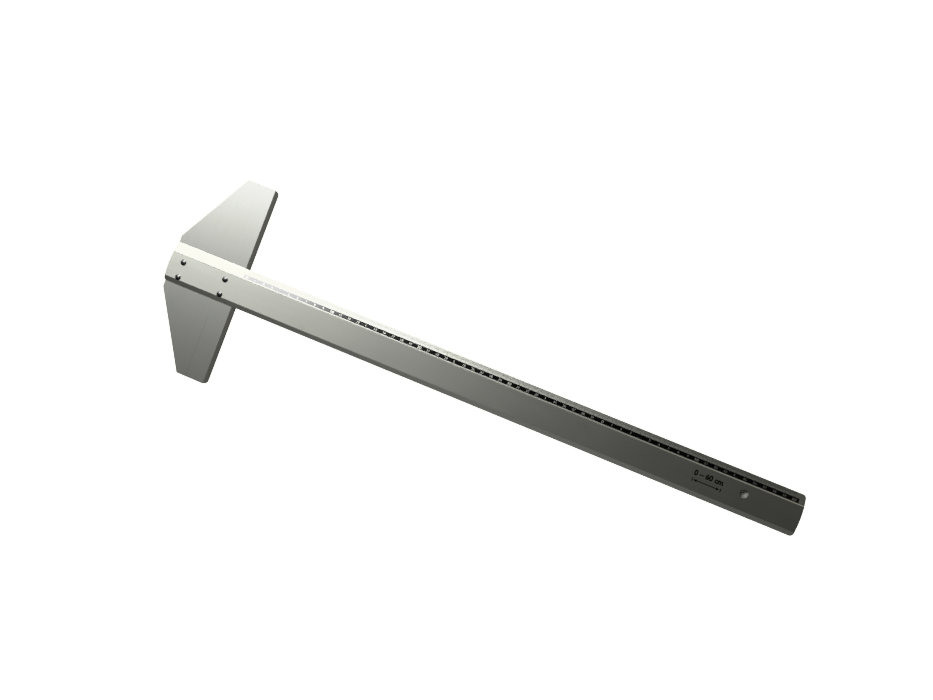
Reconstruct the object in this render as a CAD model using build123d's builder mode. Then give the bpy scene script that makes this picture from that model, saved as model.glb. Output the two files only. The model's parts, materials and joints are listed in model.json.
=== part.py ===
from build123d import *
import os

# Drafting T-square: a flat aluminium blade riveted on top of a tapered head.
# Millimetres. X = 0 is the working edge of the head, which slides along the
# edge of the drawing board, Y = 0 is the centreline of the blade, and Z = 0 is
# the underside of the blade, which lies on the paper. +X runs to the tip of
# the blade, and +Y to its bevelled scale edge.

os.makedirs("parts", exist_ok=True)

# ---- head -------------------------------------------------------------------
HEAD_LENGTH = 219.0          # across the blade
HEAD_WIDTH = 84.0            # working edge to outer edge
HEAD_END_WIDTH = 35.5        # the two square-cut ends
HEAD_OUTER_EDGE = 58.0       # short edge opposite the working edge
HEAD_THICKNESS = 5.0
HEAD_CORNER_R = 5.0          # the two corners on the working edge
HEAD_SAWN_CORNER_R = 0.5     # the other corners, only deburred
HEAD_EDGE_BREAK = 0.25
WORKING_BEVEL_WIDTH = 3.6    # bevel over the working edge, in plan
WORKING_BEVEL_DEPTH = 1.8

# ---- blade ------------------------------------------------------------------
BLADE_LENGTH = 700.0
BLADE_WIDTH = 43.0
BLADE_THICKNESS = 3.0
BLADE_OVERHANG = 2.0         # how far the blade passes the head's outer edge
BLADE_END_R = 115.0          # both ends are shallow arcs
BLADE_END_APEX_Y = -5.0      # centred near the middle of the flat, not of the blade
BLADE_REAR_CORNER_R = 2.5
BLADE_TIP_CORNER_R = 4.0
SCALE_EDGE_HEIGHT = 1.0      # upright face of the scale edge
SCALE_BEVEL_TOP_Y = 10.9     # the scale bevel rises from the edge to here
SCALE_BEVEL_TOP_Z = 2.6
RIDGE_Y = 10.2               # a steeper shoulder leads from there up to the flat
BACK_CHAMFER_Y = -16.45      # the flat ends here, at the chamfered plain edge
BACK_EDGE_HEIGHT = 1.5
BLADE_EDGE_BREAK = 0.2
HANG_HOLE_X = 555.7
HANG_HOLE_R = 4.3

# ---- blind rivets -----------------------------------------------------------
RIVET_X = (-70.0, -19.9)
RIVET_Y = (-14.0, 2.7)
RIVET_SHANK_R = 1.65         # a set shank fills its hole
RIVET_FLANGE_R = 3.15
RIVET_RIM_HEIGHT = 0.3       # upright rim under the dome
RIVET_DOME_HEIGHT = 0.5      # dome above that rim
RIVET_BULB_R = 2.45          # where the sleeve is upset under the head
RIVET_BULB_LENGTH = 2.0
RIVET_TAIL_R = 1.75
MANDREL_R = 0.9
MANDREL_HEAD_R = 1.5
MANDREL_HEAD_HEIGHT = 0.8
MANDREL_RECESS = 0.7         # the broken stem ends this far below the dome
MANDREL_BREAK_R = 0.6        # the stem is necked where it breaks
COUNTERBORE_R = 4.25         # pockets that keep the rivet tails off the board
COUNTERBORE_DEPTH = 3.0

BLADE_REAR_X = -HEAD_WIDTH - BLADE_OVERHANG
BLADE_TIP_X = BLADE_REAR_X + BLADE_LENGTH
HALF_BLADE = BLADE_WIDTH / 2
HEAD_BOTTOM_Z = -HEAD_THICKNESS
RIVET_SEAT_Z = HEAD_BOTTOM_Z + COUNTERBORE_DEPTH
RIVET_TAIL_Z = RIVET_SEAT_Z - RIVET_BULB_LENGTH
DOME_SPHERE_R = (RIVET_FLANGE_R**2 + RIVET_DOME_HEIGHT**2) / (2 * RIVET_DOME_HEIGHT)
RIVET_PLACES = [(x, y) for x in RIVET_X for y in RIVET_Y]


def end_drop(offset):
    """How far an end's arc falls back from its apex at a distance across the blade."""
    return BLADE_END_R - (BLADE_END_R**2 - offset**2) ** 0.5


def dome_z(radius):
    """Height of a rivet's dome at a radius from its axis."""
    apex = BLADE_THICKNESS + RIVET_RIM_HEIGHT + RIVET_DOME_HEIGHT
    return apex - DOME_SPHERE_R + (DOME_SPHERE_R**2 - radius**2) ** 0.5


# ---- head: a tapered plate, bevelled over the working edge -------------------
with BuildPart() as head:
    with BuildSketch(Plane.XY.offset(HEAD_BOTTOM_Z)):
        with BuildLine():
            Polyline(
                (0, HEAD_LENGTH / 2),
                (-HEAD_END_WIDTH, HEAD_LENGTH / 2),
                (-HEAD_WIDTH, HEAD_OUTER_EDGE / 2),
                (-HEAD_WIDTH, -HEAD_OUTER_EDGE / 2),
                (-HEAD_END_WIDTH, -HEAD_LENGTH / 2),
                (0, -HEAD_LENGTH / 2),
                close=True,
            )
        make_face()
    extrude(amount=HEAD_THICKNESS)
    upright_edges = head.edges().filter_by(Axis.Z).sort_by(Axis.X)
    fillet(upright_edges[-2:], radius=HEAD_CORNER_R)
    sawn_corners = head.edges().filter_by(Axis.Z).filter_by_position(
        Axis.X, -HEAD_WIDTH, -HEAD_END_WIDTH
    )
    fillet(sawn_corners, radius=HEAD_SAWN_CORNER_R)
    top_and_bottom = head.faces().filter_by(Axis.Z)
    chamfer(top_and_bottom.edges(), length=HEAD_EDGE_BREAK)

    # The bevel runs straight out of both ends.
    with BuildSketch(Plane.XZ.offset(-HEAD_LENGTH / 2)):
        with BuildLine():
            Polyline(
                (0, -WORKING_BEVEL_DEPTH),
                (-WORKING_BEVEL_WIDTH, 0),
                (0, 0),
                close=True,
            )
        make_face()
    extrude(amount=HEAD_LENGTH, mode=Mode.SUBTRACT)

    # Rivet holes, counterbored from the underside.
    underside = Plane(origin=(0, 0, HEAD_BOTTOM_Z), x_dir=(1, 0, 0), z_dir=(0, 0, -1))
    with Locations(underside):
        with Locations([(x, -y) for x, y in RIVET_PLACES]):
            CounterBoreHole(
                radius=RIVET_SHANK_R,
                counter_bore_radius=COUNTERBORE_R,
                counter_bore_depth=COUNTERBORE_DEPTH,
                depth=HEAD_THICKNESS,
            )
head.part.label = "head"
export_step(head.part, "parts/head.step")


# ---- blade: one drawn section, cut to an outline with arched ends ------------
with BuildPart() as blade:
    with BuildSketch(Plane.YZ.offset(BLADE_REAR_X)) as section:
        with BuildLine():
            Polyline(
                (HALF_BLADE, 0),
                (HALF_BLADE, SCALE_EDGE_HEIGHT),
                (SCALE_BEVEL_TOP_Y, SCALE_BEVEL_TOP_Z),
                (RIDGE_Y, BLADE_THICKNESS),
                (BACK_CHAMFER_Y, BLADE_THICKNESS),
                (-HALF_BLADE, BACK_EDGE_HEIGHT),
                (-HALF_BLADE, 0),
                close=True,
            )
        make_face()
        long_edge_corners = section.vertices().group_by(Axis.Y)
        fillet(long_edge_corners[0] + long_edge_corners[-1], radius=BLADE_EDGE_BREAK)
    extrude(amount=BLADE_LENGTH)

    with BuildSketch(Plane.XY) as outline:
        with BuildLine():
            scale_drop = end_drop(HALF_BLADE - BLADE_END_APEX_Y)
            plain_drop = end_drop(HALF_BLADE + BLADE_END_APEX_Y)
            rear_scale_corner = (BLADE_REAR_X + scale_drop, HALF_BLADE)
            rear_plain_corner = (BLADE_REAR_X + plain_drop, -HALF_BLADE)
            tip_scale_corner = (BLADE_TIP_X - scale_drop, HALF_BLADE)
            tip_plain_corner = (BLADE_TIP_X - plain_drop, -HALF_BLADE)
            Line(rear_scale_corner, tip_scale_corner)
            ThreePointArc(tip_scale_corner, (BLADE_TIP_X, BLADE_END_APEX_Y), tip_plain_corner)
            Line(tip_plain_corner, rear_plain_corner)
            ThreePointArc(rear_plain_corner, (BLADE_REAR_X, BLADE_END_APEX_Y), rear_scale_corner)
        make_face()
        fillet(outline.vertices().sort_by(Axis.X)[:2], radius=BLADE_REAR_CORNER_R)
        fillet(outline.vertices().sort_by(Axis.X)[-2:], radius=BLADE_TIP_CORNER_R)
    extrude(amount=BLADE_THICKNESS, mode=Mode.INTERSECT)

    with Locations((HANG_HOLE_X, 0, BLADE_THICKNESS)):
        Hole(radius=HANG_HOLE_R, depth=BLADE_THICKNESS)
    with Locations([(x, y, BLADE_THICKNESS) for x, y in RIVET_PLACES]):
        Hole(radius=RIVET_SHANK_R, depth=BLADE_THICKNESS)
blade.part.label = "blade"
export_step(blade.part, "parts/blade.step")


# ---- four blind rivets, each a set sleeve and the mandrel left in it ---------
for number, (rivet_x, rivet_y) in enumerate(RIVET_PLACES, start=1):
    rivet_axis = Axis((rivet_x, rivet_y, 0), (0, 0, 1))
    radial_plane = Plane(origin=(rivet_x, rivet_y, 0), x_dir=(1, 0, 0), z_dir=(0, -1, 0))

    with BuildPart() as sleeve:
        with BuildSketch(radial_plane):
            with BuildLine():
                mid_r = (MANDREL_R + RIVET_FLANGE_R) / 2
                rim_z = BLADE_THICKNESS + RIVET_RIM_HEIGHT
                Line((MANDREL_R, RIVET_TAIL_Z), (MANDREL_R, dome_z(MANDREL_R)))
                ThreePointArc(
                    (MANDREL_R, dome_z(MANDREL_R)),
                    (mid_r, dome_z(mid_r)),
                    (RIVET_FLANGE_R, rim_z),
                )
                Polyline(
                    (RIVET_FLANGE_R, rim_z),
                    (RIVET_FLANGE_R, BLADE_THICKNESS),
                    (RIVET_SHANK_R, BLADE_THICKNESS),
                    (RIVET_SHANK_R, RIVET_SEAT_Z),
                    (RIVET_TAIL_R, RIVET_SEAT_Z),
                )
                ThreePointArc(
                    (RIVET_TAIL_R, RIVET_SEAT_Z),
                    (RIVET_BULB_R, (RIVET_SEAT_Z + RIVET_TAIL_Z) / 2),
                    (RIVET_TAIL_R, RIVET_TAIL_Z),
                )
                Line((RIVET_TAIL_R, RIVET_TAIL_Z), (MANDREL_R, RIVET_TAIL_Z))
            make_face()
        revolve(axis=rivet_axis)
    sleeve.part.label = f"rivet_{number}"
    export_step(sleeve.part, f"parts/rivet_{number}.step")

    with BuildPart() as mandrel:
        with BuildSketch(radial_plane):
            with BuildLine():
                break_z = dome_z(MANDREL_R) - MANDREL_RECESS
                neck = MANDREL_R - MANDREL_BREAK_R
                Polyline(
                    (0, RIVET_TAIL_Z - MANDREL_HEAD_HEIGHT),
                    (MANDREL_HEAD_R - neck, RIVET_TAIL_Z - MANDREL_HEAD_HEIGHT),
                    (MANDREL_HEAD_R, RIVET_TAIL_Z - MANDREL_HEAD_HEIGHT + neck),
                    (MANDREL_HEAD_R, RIVET_TAIL_Z),
                    (MANDREL_R, RIVET_TAIL_Z),
                    (MANDREL_R, break_z - neck),
                    (MANDREL_BREAK_R, break_z),
                    (0, break_z),
                    close=True,
                )
            make_face()
        revolve(axis=rivet_axis)
    mandrel.part.label = f"rivet_mandrel_{number}"
    export_step(mandrel.part, f"parts/rivet_mandrel_{number}.step")
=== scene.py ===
import bpy
import bmesh
import json
import math
from mathutils import Matrix, Vector


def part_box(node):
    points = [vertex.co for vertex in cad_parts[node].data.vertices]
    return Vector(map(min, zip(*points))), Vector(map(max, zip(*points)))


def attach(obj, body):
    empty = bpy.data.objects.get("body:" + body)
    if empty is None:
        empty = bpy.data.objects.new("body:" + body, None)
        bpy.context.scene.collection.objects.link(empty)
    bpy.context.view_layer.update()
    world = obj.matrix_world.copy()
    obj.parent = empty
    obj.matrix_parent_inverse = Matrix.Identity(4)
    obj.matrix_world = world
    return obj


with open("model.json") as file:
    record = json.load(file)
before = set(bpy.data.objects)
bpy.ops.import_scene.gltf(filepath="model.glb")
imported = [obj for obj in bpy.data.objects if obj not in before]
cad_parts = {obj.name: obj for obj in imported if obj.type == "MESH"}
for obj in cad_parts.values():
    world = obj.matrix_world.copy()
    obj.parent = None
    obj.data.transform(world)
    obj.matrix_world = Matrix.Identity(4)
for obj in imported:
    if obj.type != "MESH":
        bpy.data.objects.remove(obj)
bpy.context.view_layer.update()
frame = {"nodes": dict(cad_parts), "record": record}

# Everything is in metres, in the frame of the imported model: X = 0 is the
# working edge of the head, Y = 0 the centreline of the blade, Z = 0 the
# underside of the blade. +Y is the bevelled scale edge.
MM = 0.001

# ---- the metal: its boxes, from the frame, and what they do not say -----------
BLADE_LOW, BLADE_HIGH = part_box("blade")
HEAD_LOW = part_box("head")[0]
SCALE_EDGE_Y = BLADE_HIGH.y
BEVEL_EDGE_Z = BLADE_LOW.z + 1.0 * MM    # top of the upright face of the scale edge
BEVEL_TOP_Y = 10.9 * MM
BEVEL_TOP_Z = BLADE_LOW.z + 2.6 * MM
FLAT_Z = BLADE_HIGH.z
FLOOR_Z = HEAD_LOW.z - 0.2 * MM
# where a faint line of painted shade, for a shallow groove, runs along Y on the head's -Y wing
HEAD_GROOVE_SHADE_X = -24.5 * MM

# ---- the printed scale --------------------------------------------------------
SCALE_ZERO_X = 1.5 * MM
CENTIMETRES = 60
CM = 10 * MM
STRIP_OUTER_Y = 15.95 * MM
STRIP_INNER_Y = 11.5 * MM
STRIP_MIDDLE_Y = (STRIP_OUTER_Y + STRIP_INNER_Y) / 2
STRIP_BEFORE_ZERO = 3.5 * MM
STRIP_AFTER_LAST = 4.6 * MM
INK = 0.03 * MM                 # how far print stands off the metal
TICK_WIDTH = 0.25 * MM
TICK_OUTER_Y = SCALE_EDGE_Y - 0.3 * MM
TICK_LENGTHS = {10: 5.35 * MM, 5: 4.3 * MM, 1: 3.3 * MM}    # by the millimetres they mark
NUMERAL_Y = 13.5 * MM
NUMERAL_HEIGHT, NUMERAL_BOLD = 2.15 * MM, 0.01
TEN_HEIGHT, TEN_BOLD = 2.75 * MM, 0.03
NUMERAL_STRETCH = 1.24          # the numerals are wider than the font's own

# ---- the picture ----------------------------------------------------------------
WHITE_LEVEL = 2.3               # scene light that the camera shows as pure white

# ---- the hang hole --------------------------------------------------------------
HANG_HOLE = next(mount for mount in frame["record"]["mounts"] if mount["name"] == "hang_hole")
HANG_HOLE_PLACE = Vector(HANG_HOLE["pos_m"])
UNDER_HOLE = (7 * MM, 9 * MM)   # the floor shows its own light within these distances of the hole


# ---- meshes -------------------------------------------------------------------
def new_piece(name, mesh, material):
    """A mesh piece that rides on the part's one body."""
    piece = bpy.data.objects.new(name, mesh)
    bpy.context.scene.collection.objects.link(piece)
    piece.data.materials.clear()
    piece.data.materials.append(material)
    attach(piece, "root")
    return piece


def mesh_from(bm, name):
    """Ends the bmesh and gives its mesh, with the faces turned outwards."""
    bmesh.ops.recalc_face_normals(bm, faces=bm.faces)
    mesh = bpy.data.meshes.new(name)
    bm.to_mesh(mesh)
    bm.free()
    return mesh


def bevel_matrix(x, y):
    """A frame on the scale bevel: x along the blade, y up the bevel to the scale edge, z out of it."""
    slope = math.atan2(BEVEL_TOP_Z - BEVEL_EDGE_Z, SCALE_EDGE_Y - BEVEL_TOP_Y)
    z = BEVEL_EDGE_Z + (SCALE_EDGE_Y - y) * math.tan(slope)
    return Matrix.Translation((x, y, z)) @ Matrix.Rotation(-slope, 4, "X")


def flat_matrix(x, y):
    """A frame on the flat of the blade, its axes along those of the model."""
    return Matrix.Translation((x, y, FLAT_Z))


def add_slab(bm, place, width, length):
    """A slab of ink, closed all round, centred on a place.

    It sinks into the metal as far as it stands off."""
    size = Matrix.Diagonal((width, length, 2 * INK, 1))
    bmesh.ops.create_cube(bm, size=1, matrix=place @ size)


def add_polygon(bm, place, outline):
    """A flat figure of ink from a list of (x, y) corners."""
    lower = [bm.verts.new(place @ Vector((x, y, -INK))) for x, y in outline]
    upper = [bm.verts.new(place @ Vector((x, y, INK))) for x, y in outline]
    bm.faces.new(upper)
    bm.faces.new(list(reversed(lower)))
    for i in range(len(outline)):
        j = (i + 1) % len(outline)
        bm.faces.new((lower[i], lower[j], upper[j], upper[i]))


def add_text(bm, place, text, height, depth=INK, stretch=1.0, bold=0.0):
    """Lettering as closed solids, centred on a place, from depth under it to depth over it."""
    capital_share = 0.729           # height of a numeral over the font's size
    curve = bpy.data.curves.new("lettering", "FONT")
    curve.body = text
    curve.align_x = "CENTER"
    curve.align_y = "CENTER"
    curve.size = height / capital_share
    curve.offset = bold * height
    curve.extrude = depth
    curve.resolution_u = 4
    holder = bpy.data.objects.new("lettering", curve)
    bpy.context.scene.collection.objects.link(holder)
    bpy.context.view_layer.update()
    solid = bpy.data.meshes.new_from_object(holder)
    solid.transform(place @ Matrix.Diagonal((stretch, 1, 1, 1)))
    bm.from_mesh(solid)
    bmesh.ops.remove_doubles(bm, verts=bm.verts, dist=0.001 * MM)
    bpy.data.objects.remove(holder)
    bpy.data.meshes.remove(solid)
    bpy.data.curves.remove(curve)


def knocked_out(mesh, cutter_mesh):
    """The mesh less the solids of another mesh."""
    block = bpy.data.objects.new("block", mesh)
    cutter = bpy.data.objects.new("cutter", cutter_mesh)
    for helper in (block, cutter):
        bpy.context.scene.collection.objects.link(helper)
    cut = block.modifiers.new("cut", "BOOLEAN")
    cut.operation = "DIFFERENCE"
    cut.solver = "EXACT"
    cut.object = cutter
    bpy.context.view_layer.update()
    depsgraph = bpy.context.evaluated_depsgraph_get()
    result = bpy.data.meshes.new_from_object(block.evaluated_get(depsgraph))
    for helper in (block, cutter):
        bpy.data.objects.remove(helper)
    return result


# ---- materials ----------------------------------------------------------------
class Graph:
    """Shader nodes, added one at a time to a node tree."""

    def __init__(self, tree):
        self.nodes = tree.nodes
        self.links = tree.links

    def add(self, kind, **settings):
        node = self.nodes.new(kind)
        for key, value in settings.items():
            setattr(node, key, value)
        return node

    def math(self, operation, *values):
        """One operation on up to three values, each a socket or a number."""
        node = self.add("ShaderNodeMath", operation=operation)
        for socket, value in zip(node.inputs, values):
            if isinstance(value, (int, float)):
                socket.default_value = value
            else:
                self.links.new(value, socket)
        return node.outputs["Value"]

    def mix(self, factor, first, second):
        """Mixes two colours, each a socket or a tuple."""
        node = self.add("ShaderNodeMix", data_type="RGBA")
        self.links.new(factor, node.inputs["Factor"])
        for socket, value in ((node.inputs[6], first), (node.inputs[7], second)):
            if isinstance(value, tuple):
                socket.default_value = (*value, 1.0)
            else:
                self.links.new(value, socket)
        return node.outputs[2]


class MaterialGraph(Graph):
    """The nodes of a new material, with the textures that the materials share."""

    def __init__(self, name):
        self.material = bpy.data.materials.new(name)
        self.material.use_nodes = True
        super().__init__(self.material.node_tree)
        self.shader = self.nodes["Principled BSDF"]
        self.place = self.add("ShaderNodeTexCoord").outputs["Object"]

    def stretched(self, scale, turn=0.0):
        """The place on the object, turned about Z and scaled, in cycles per metre."""
        turned = self.add("ShaderNodeMapping")
        turned.inputs["Rotation"].default_value = (0, 0, turn)
        self.links.new(self.place, turned.inputs["Vector"])
        scaled = self.add("ShaderNodeMapping")
        scaled.inputs["Scale"].default_value = scale
        self.links.new(turned.outputs["Vector"], scaled.inputs["Vector"])
        return scaled.outputs["Vector"]

    def noise(self, scale, turn=0.0, detail=2.0, roughness=0.5):
        node = self.add("ShaderNodeTexNoise")
        node.inputs["Scale"].default_value = 1.0
        node.inputs["Detail"].default_value = detail
        node.inputs["Roughness"].default_value = roughness
        self.links.new(self.stretched(scale, turn), node.inputs["Vector"])
        return node.outputs["Fac"]

    def remap(self, value, from_low, from_high, to_low, to_high):
        node = self.add("ShaderNodeMapRange", clamp=True)
        node.inputs["From Min"].default_value = from_low
        node.inputs["From Max"].default_value = from_high
        node.inputs["To Min"].default_value = to_low
        node.inputs["To Max"].default_value = to_high
        self.links.new(value, node.inputs["Value"])
        return node.outputs["Result"]

    def bump(self, height, distance, under=None):
        node = self.add("ShaderNodeBump")
        node.inputs["Strength"].default_value = 1.0
        node.inputs["Distance"].default_value = distance
        self.links.new(height, node.inputs["Height"])
        if under is not None:
            self.links.new(under, node.inputs["Normal"])
        return node.outputs["Normal"]

    def scratches(self, turn, across, along, width):
        """Thin lines, 1 on the line and 0 off it: the level curves of a stretched noise."""
        level = self.noise((along, across, along), turn, detail=0.0)
        off_level = self.math("ABSOLUTE", self.math("SUBTRACT", level, 0.5))
        return self.remap(off_level, 0.0, width, 1.0, 0.0)


ALUMINIUM_TONE = 0.65           # how much light the anodised metal gives back


def brushed_aluminium(name, tint, grain_turn, streak_depth, rough, anisotropy, groove_shade_x=None):
    """Clear-anodised extrusion with a brushed grain.

    grain_turn turns the grain from X, about Z. streak_depth is how much duller the dull streaks are.
    rough is the mean roughness. The last argument is where a faint line of painted shade runs along Y,
    standing for the shade of a shallow groove, painted on the -Y wing only, where the light shows it."""
    g = MaterialGraph(name)
    fine = g.noise((18.0, 5200.0, 5200.0), grain_turn, detail=3.0, roughness=0.6)
    streaks = g.noise((5.0, 950.0, 950.0), grain_turn, detail=3.0, roughness=0.6)
    bands = g.noise((1.2, 190.0, 190.0), grain_turn, detail=2.0)
    clouds = g.noise((14.0, 26.0, 26.0), grain_turn, detail=4.0, roughness=0.55)
    along_scratch = g.scratches(grain_turn + math.radians(2.5), 300.0, 9.0, 0.0035)
    cross_scratch = g.scratches(grain_turn + math.radians(63), 160.0, 11.0, 0.0015)
    patchy = g.remap(g.noise((35.0, 35.0, 35.0), 0.0, detail=2.0), 0.5, 0.68, 0.0, 1.0)
    wear = g.math("MULTIPLY", g.math("MAXIMUM", along_scratch, cross_scratch), patchy)

    bright = tuple(ALUMINIUM_TONE * (1 + streak_depth / 2) * channel for channel in tint)
    dull = tuple((1 - streak_depth) * channel for channel in bright)
    streak_tone = g.math("ADD", g.math("MULTIPLY", streaks, 0.75), g.math("MULTIPLY", bands, 0.25))
    colour = g.mix(g.remap(streak_tone, 0.34, 0.66, 0.0, 1.0), dull, bright)
    stained = tuple(channel * shade for channel, shade in zip(bright, (0.96, 0.95, 0.92)))
    colour = g.mix(g.remap(clouds, 0.48, 0.75, 0.0, 0.5), colour, stained)
    # Painted shade: a faint darker line along Y, standing for the shade of a shallow groove, painted on the
    # -Y wing only because the light shows it there.
    if groove_shade_x is not None:
        split = g.add("ShaderNodeSeparateXYZ")
        g.links.new(g.place, split.inputs["Vector"])
        off_line = g.math("ABSOLUTE", g.math("SUBTRACT", split.outputs["X"], groove_shade_x))
        on_line = g.remap(off_line, 0.2 * MM, 1.0 * MM, 1.0, 0.0)
        shade_wing = g.remap(split.outputs["Y"], -50 * MM, -25 * MM, 1.0, 0.0)
        groove_shade = tuple(0.94 * channel for channel in dull)
        colour = g.mix(g.math("MULTIPLY", on_line, shade_wing), colour, groove_shade)
    g.links.new(colour, g.shader.inputs["Base Color"])

    base = g.remap(streak_tone, 0.3, 0.7, rough + 0.15 * streak_depth, rough - 0.15 * streak_depth)
    cloudy = g.math("ADD", base, g.remap(clouds, 0.3, 0.7, -0.006, 0.008))
    g.links.new(g.math("SUBTRACT", cloudy, g.math("MULTIPLY", wear, 0.08)), g.shader.inputs["Roughness"])

    grain_height = g.math("ADD", g.math("MULTIPLY", fine, 0.7), g.math("MULTIPLY", streaks, 0.5))
    grain = g.bump(grain_height, 0.002 * MM)
    g.links.new(g.bump(wear, -0.01 * MM, under=grain), g.shader.inputs["Normal"])
    g.shader.inputs["Metallic"].default_value = 1.0
    g.shader.inputs["Anisotropic"].default_value = anisotropy
    across = g.add("ShaderNodeCombineXYZ")
    across.inputs["X"].default_value = math.sin(grain_turn)
    across.inputs["Y"].default_value = math.cos(grain_turn)
    g.links.new(across.outputs["Vector"], g.shader.inputs["Tangent"])
    return g.material


def rivet_metal(name, tone, rough):
    """Bare rivet metal, scuffed by the setting tool."""
    g = MaterialGraph(name)
    dents = g.noise((1400.0, 1400.0, 1400.0), detail=3.0)
    scuffs = g.noise((500.0, 2600.0, 900.0), math.radians(35), detail=3.0, roughness=0.65)
    clean = (tone, tone, 0.98 * tone)
    scuffed = (0.6 * tone, 0.6 * tone, 0.57 * tone)
    colour = g.mix(g.remap(scuffs, 0.4, 0.7, 0.0, 1.0), clean, scuffed)
    g.links.new(colour, g.shader.inputs["Base Color"])
    g.links.new(g.remap(dents, 0.35, 0.7, rough, rough + 0.12), g.shader.inputs["Roughness"])
    g.links.new(g.bump(dents, 0.02 * MM), g.shader.inputs["Normal"])
    g.shader.inputs["Metallic"].default_value = 1.0
    return g.material


def gloss_ink(name):
    """Glossy screen-printed black: a little thin in places, with the metal's grain under it."""
    g = MaterialGraph(name)
    mottle = g.noise((700.0, 900.0, 900.0), detail=4.0, roughness=0.6)
    grain = g.noise((18.0, 4200.0, 4200.0), detail=2.0)
    rubbed = g.remap(g.noise((160.0, 420.0, 420.0), detail=3.0), 0.55, 0.8, 0.0, 0.5)
    thin = g.math("MAXIMUM", g.remap(mottle, 0.6, 0.85, 0.0, 0.4), rubbed)
    g.links.new(g.mix(thin, (0.002, 0.002, 0.002), (0.008, 0.008, 0.007)), g.shader.inputs["Base Color"])
    g.links.new(g.remap(mottle, 0.3, 0.7, 0.10, 0.128), g.shader.inputs["Roughness"])
    g.links.new(g.bump(grain, 0.0004 * MM), g.shader.inputs["Normal"])
    g.shader.inputs["IOR"].default_value = 1.79
    return g.material


def floor_paper():
    """Paper that the camera sees as pure white, except under the hang hole, where it is lit as it is."""
    g = MaterialGraph("floor_paper")
    tooth = g.noise((900.0, 900.0, 900.0), detail=3.0)
    g.links.new(g.bump(tooth, 0.02 * MM), g.shader.inputs["Normal"])
    g.shader.inputs["Roughness"].default_value = 0.9
    g.shader.inputs["Emission Color"].default_value = (1.0, 1.0, 1.0, 1.0)
    away = g.add("ShaderNodeVectorMath", operation="DISTANCE")
    g.links.new(g.place, away.inputs[0])
    away.inputs[1].default_value = (HANG_HOLE_PLACE.x, HANG_HOLE_PLACE.y, FLOOR_Z)
    beyond_hole = g.remap(away.outputs["Value"], *UNDER_HOLE, 0.0, 1.0)
    pale = g.mix(tooth, (0.76, 0.76, 0.76), (0.82, 0.82, 0.82))
    shaded = g.mix(tooth, (0.26, 0.26, 0.25), (0.32, 0.32, 0.31))
    g.links.new(g.mix(beyond_hole, pale, shaded), g.shader.inputs["Base Color"])
    seen = g.add("ShaderNodeLightPath").outputs["Is Camera Ray"]
    glow = g.math("MULTIPLY", g.math("MULTIPLY", beyond_hole, seen), WHITE_LEVEL)
    g.links.new(glow, g.shader.inputs["Emission Strength"])
    return g.material


blade_metal = brushed_aluminium(
    "blade_brushed", tint=(0.98, 1.0, 0.905), grain_turn=0.0, streak_depth=0.10, rough=0.345, anisotropy=0.35
)
head_metal = brushed_aluminium(
    "head_brushed",
    tint=(0.98, 1.0, 0.925),
    grain_turn=math.radians(90),
    streak_depth=0.045,
    rough=0.355,
    anisotropy=0.17,
    groove_shade_x=HEAD_GROOVE_SHADE_X,
)
sleeve_metal = rivet_metal("rivet_sleeve", tone=0.21, rough=0.22)
mandrel_metal = rivet_metal("rivet_mandrel", tone=0.12, rough=0.36)
black_ink = gloss_ink("black_ink")

NODE_METALS = {"blade": blade_metal, "head": head_metal}
for node_name, node in frame["nodes"].items():
    metal = NODE_METALS.get(node_name)
    if metal is None:
        metal = mandrel_metal if "mandrel" in node_name else sleeve_metal
    for index in range(len(node.material_slots)):
        node.material_slots[index].material = metal


# ---- printed pieces -----------------------------------------------------------
def numeral_solids():
    """The numeral of each centimetre, deep enough to cut right through the strip."""
    bm = bmesh.new()
    for centimetre in range(CENTIMETRES + 1):
        is_ten = centimetre % 10 == 0
        height, bold = (TEN_HEIGHT, TEN_BOLD) if is_ten else (NUMERAL_HEIGHT, NUMERAL_BOLD)
        place = bevel_matrix(SCALE_ZERO_X + centimetre * CM, NUMERAL_Y)
        add_text(bm, place, str(centimetre), height, 3 * INK, NUMERAL_STRETCH, bold)
    return mesh_from(bm, "numerals")


def scale_strip():
    """A band of ink along the bevel, with the numerals left bare in it.

    Known fault: the digit 4 is not cut out, so each numeral that has one lacks it."""
    bm = bmesh.new()
    start = SCALE_ZERO_X - STRIP_BEFORE_ZERO
    end = SCALE_ZERO_X + CENTIMETRES * CM + STRIP_AFTER_LAST
    place = bevel_matrix((start + end) / 2, STRIP_MIDDLE_Y)
    add_slab(bm, place, end - start, STRIP_OUTER_Y - STRIP_INNER_Y)
    strip = knocked_out(mesh_from(bm, "scale_strip"), numeral_solids())
    new_piece("scale_strip", strip, black_ink)


def scale_divisions():
    """A mark for each millimetre, longer at the fives and longest at the centimetres."""
    bm = bmesh.new()
    for millimetre in range(CENTIMETRES * 10 + 1):
        length = next(TICK_LENGTHS[step] for step in (10, 5, 1) if millimetre % step == 0)
        x = SCALE_ZERO_X + millimetre * MM
        add_slab(bm, bevel_matrix(x, TICK_OUTER_Y - length / 2), TICK_WIDTH, length)
    new_piece("scale_divisions", mesh_from(bm, "scale_divisions"), black_ink)


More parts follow.
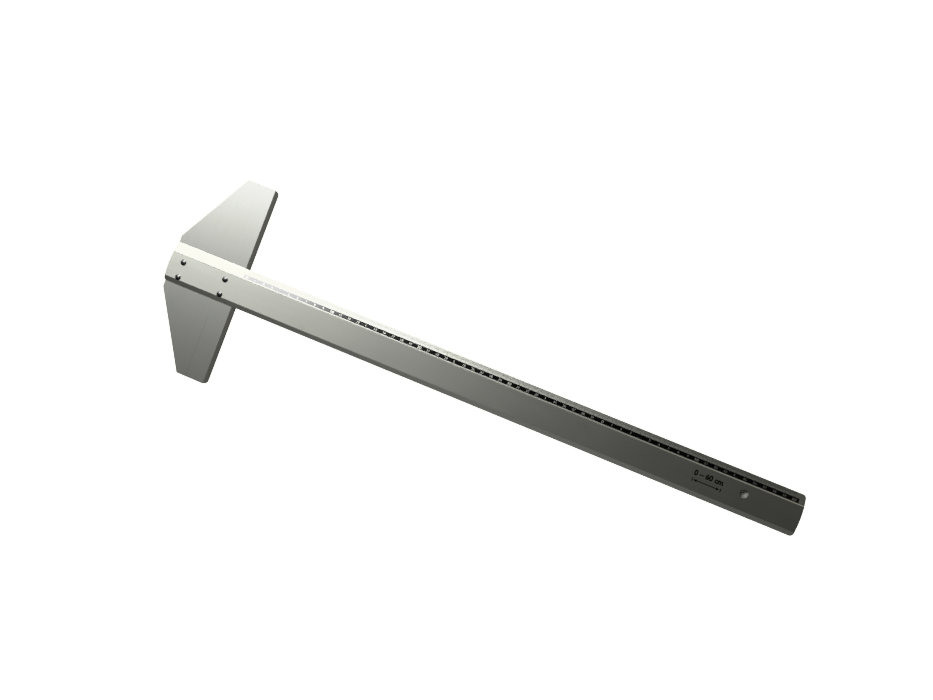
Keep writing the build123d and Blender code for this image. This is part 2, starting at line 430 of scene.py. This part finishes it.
def size_mark():
    """A plain size mark by the hang hole: the range of the scale over a dimension line."""
    centre_x = HANG_HOLE_PLACE.x - 36.6 * MM
    text_y, text_height = 1.6 * MM, 5.4 * MM
    line_y, line_half, line_thick = -5.6 * MM, 14.5 * MM, 0.9 * MM
    stop_length, arrow_length, arrow_half = 3.6 * MM, 4.4 * MM, 1.4 * MM
    bm = bmesh.new()
    add_text(bm, flat_matrix(centre_x, text_y), "0 – 60 cm", text_height, bold=0.06)
    line_place = flat_matrix(centre_x, line_y)
    add_slab(bm, line_place, 2 * (line_half - arrow_length), line_thick)
    for side in (-1, 1):
        tip = side * (line_half - line_thick)
        base = side * (line_half - arrow_length)
        add_polygon(bm, line_place, [(tip, 0), (base, arrow_half), (base, -arrow_half)])
        add_slab(bm, flat_matrix(centre_x + side * line_half, line_y), line_thick, stop_length)
    new_piece("size_mark", mesh_from(bm, "size_mark"), black_ink)


scale_strip()
scale_divisions()
size_mark()


# ---- floor, light and camera --------------------------------------------------
def stage_floor():
    """A round sheet of paper under the whole scene."""
    bm = bmesh.new()
    bmesh.ops.create_circle(bm, cap_ends=True, segments=96, radius=6.0)
    bmesh.ops.translate(bm, verts=bm.verts, vec=(0.25, 0, FLOOR_Z))
    floor = bpy.data.objects.new("floor", mesh_from(bm, "floor"))
    bpy.context.scene.collection.objects.link(floor)
    floor.data.materials.append(floor_paper())


def studio_world():
    """A dim room: dark overhead, paler lower down and towards +X +Y, with a lit wall beyond -Y.

    The lowest part, at the height of the table, is dark again. The camera sees white."""
    low_glow, falloff, lean = 0.374, 1.171, (1.316, 1.783, 0.0)
    wall_glow, wall_sharpness = 0.645, 31.9
    wall_direction = Vector((-0.08, -0.82, 0.56)).normalized()
    table_top, table_fade = 0.12, 0.16
    world = bpy.data.worlds.new("studio")
    world.use_nodes = True
    bpy.context.scene.world = world
    g = Graph(world.node_tree)
    direction = g.add("ShaderNodeTexCoord").outputs["Generated"]

    def towards(vector):
        node = g.add("ShaderNodeVectorMath", operation="DOT_PRODUCT")
        g.links.new(direction, node.inputs[0])
        node.inputs[1].default_value = vector
        return node.outputs["Value"]

    up = towards((0, 0, 1))
    lowness = g.math("SUBTRACT", 1.0, g.math("MAXIMUM", up, 0.0))
    height_glow = g.math("MULTIPLY", g.math("POWER", lowness, falloff), low_glow)
    side_share = g.math("MAXIMUM", g.math("ADD", towards(lean), 1.0), 0.0)
    off_wall = g.math("SUBTRACT", towards(wall_direction), 1.0)
    wall_fade = g.math("EXPONENT", g.math("MULTIPLY", off_wall, wall_sharpness))
    wall = g.math("MULTIPLY", wall_fade, wall_glow)
    over_table = g.math("MULTIPLY", g.math("SUBTRACT", up, table_top), 1.0 / table_fade)
    over_table = g.math("MINIMUM", g.math("MAXIMUM", over_table, 0.0), 1.0)
    room = g.math("MULTIPLY", g.math("MULTIPLY_ADD", height_glow, side_share, wall), over_table)
    seen = g.add("ShaderNodeLightPath").outputs["Is Camera Ray"]
    strength = g.add("ShaderNodeMix")
    g.links.new(seen, strength.inputs["Factor"])
    g.links.new(room, strength.inputs[2])
    strength.inputs[3].default_value = WHITE_LEVEL
    background = g.nodes["Background"]
    g.links.new(strength.outputs[0], background.inputs["Strength"])

    room_tint, wall_tint, white = (1.03, 0.985, 0.91), (0.99, 1.0, 1.0), (1.0, 1.0, 1.0)
    wall_light = g.math("MULTIPLY", wall, over_table)
    wall_share = g.math("DIVIDE", wall_light, g.math("MAXIMUM", room, 1e-6))
    tint = g.mix(wall_share, room_tint, wall_tint)
    g.links.new(g.mix(seen, tint, white), background.inputs["Color"])


def soft_light():
    """One long softbox, high over the far side of the head."""
    width, height, radiance = 1.55, 0.56, 9.75
    data = bpy.data.lights.new("softbox", "AREA")
    data.shape = "RECTANGLE"
    data.size = width
    data.size_y = height
    data.energy = radiance * math.pi * width * height
    light = bpy.data.objects.new("softbox", data)
    bpy.context.scene.collection.objects.link(light)
    light.location = (-0.834, 0.813, 2.380)
    aim = Vector((0.25, 0, 0)) - light.location
    turn = Matrix.Rotation(math.radians(-13), 3, "Z")
    light.rotation_euler = (aim.to_track_quat("-Z", "Y").to_matrix() @ turn).to_euler()


def photo_camera():
    """The camera of the photo: nearly overhead, turned so that the blade runs down to the right."""
    data = bpy.data.cameras.new("camera")
    data.lens = 42.44
    data.sensor_width = 36.0
    camera = bpy.data.objects.new("camera", data)
    bpy.context.scene.collection.objects.link(camera)
    camera.location = (0.42149, 0.09349, 1.1079)
    view = Vector((0.24782, 0.02897, 0)) - camera.location
    roll = Matrix.Rotation(math.radians(-88.684), 3, "Z")
    camera.rotation_euler = (view.to_track_quat("-Z", "Y").to_matrix() @ roll).to_euler()
    bpy.context.scene.camera = camera


def camera_response():
    """A camera's soft shoulder: straight up to 0.7, then easing off, so that bright metal keeps its tone.

    Blue eases off first, which leaves the brightest metal a little warm."""
    settings = bpy.context.scene.view_settings
    settings.view_transform = "Standard"
    settings.use_curve_mapping = True
    response = settings.curve_mapping
    response.clip_max_x = WHITE_LEVEL
    curve = response.curves[3]
    curve.points[0].location = (0, 0)
    curve.points[1].location = (WHITE_LEVEL, 1)
    shoulder = ((0.35, 0.35), (0.7, 0.7), (0.85, 0.816), (1.0, 0.88), (1.25, 0.925), (2.1, 0.965))
    for scene_light, shade_wing in shoulder:
        curve.points.new(scene_light, shade_wing)
    blue = response.curves[2]
    blue.points[1].location = (WHITE_LEVEL, WHITE_LEVEL)
    for scene_light, passed_on in ((0.85, 0.85), (1.0, 0.94), (1.25, 1.01), (1.95, 1.08)):
        blue.points.new(scene_light, passed_on)
    for point in [*curve.points, *blue.points]:
        point.handle_type = "VECTOR"
    response.update()


stage_floor()
studio_world()
soft_light()
photo_camera()
camera_response()
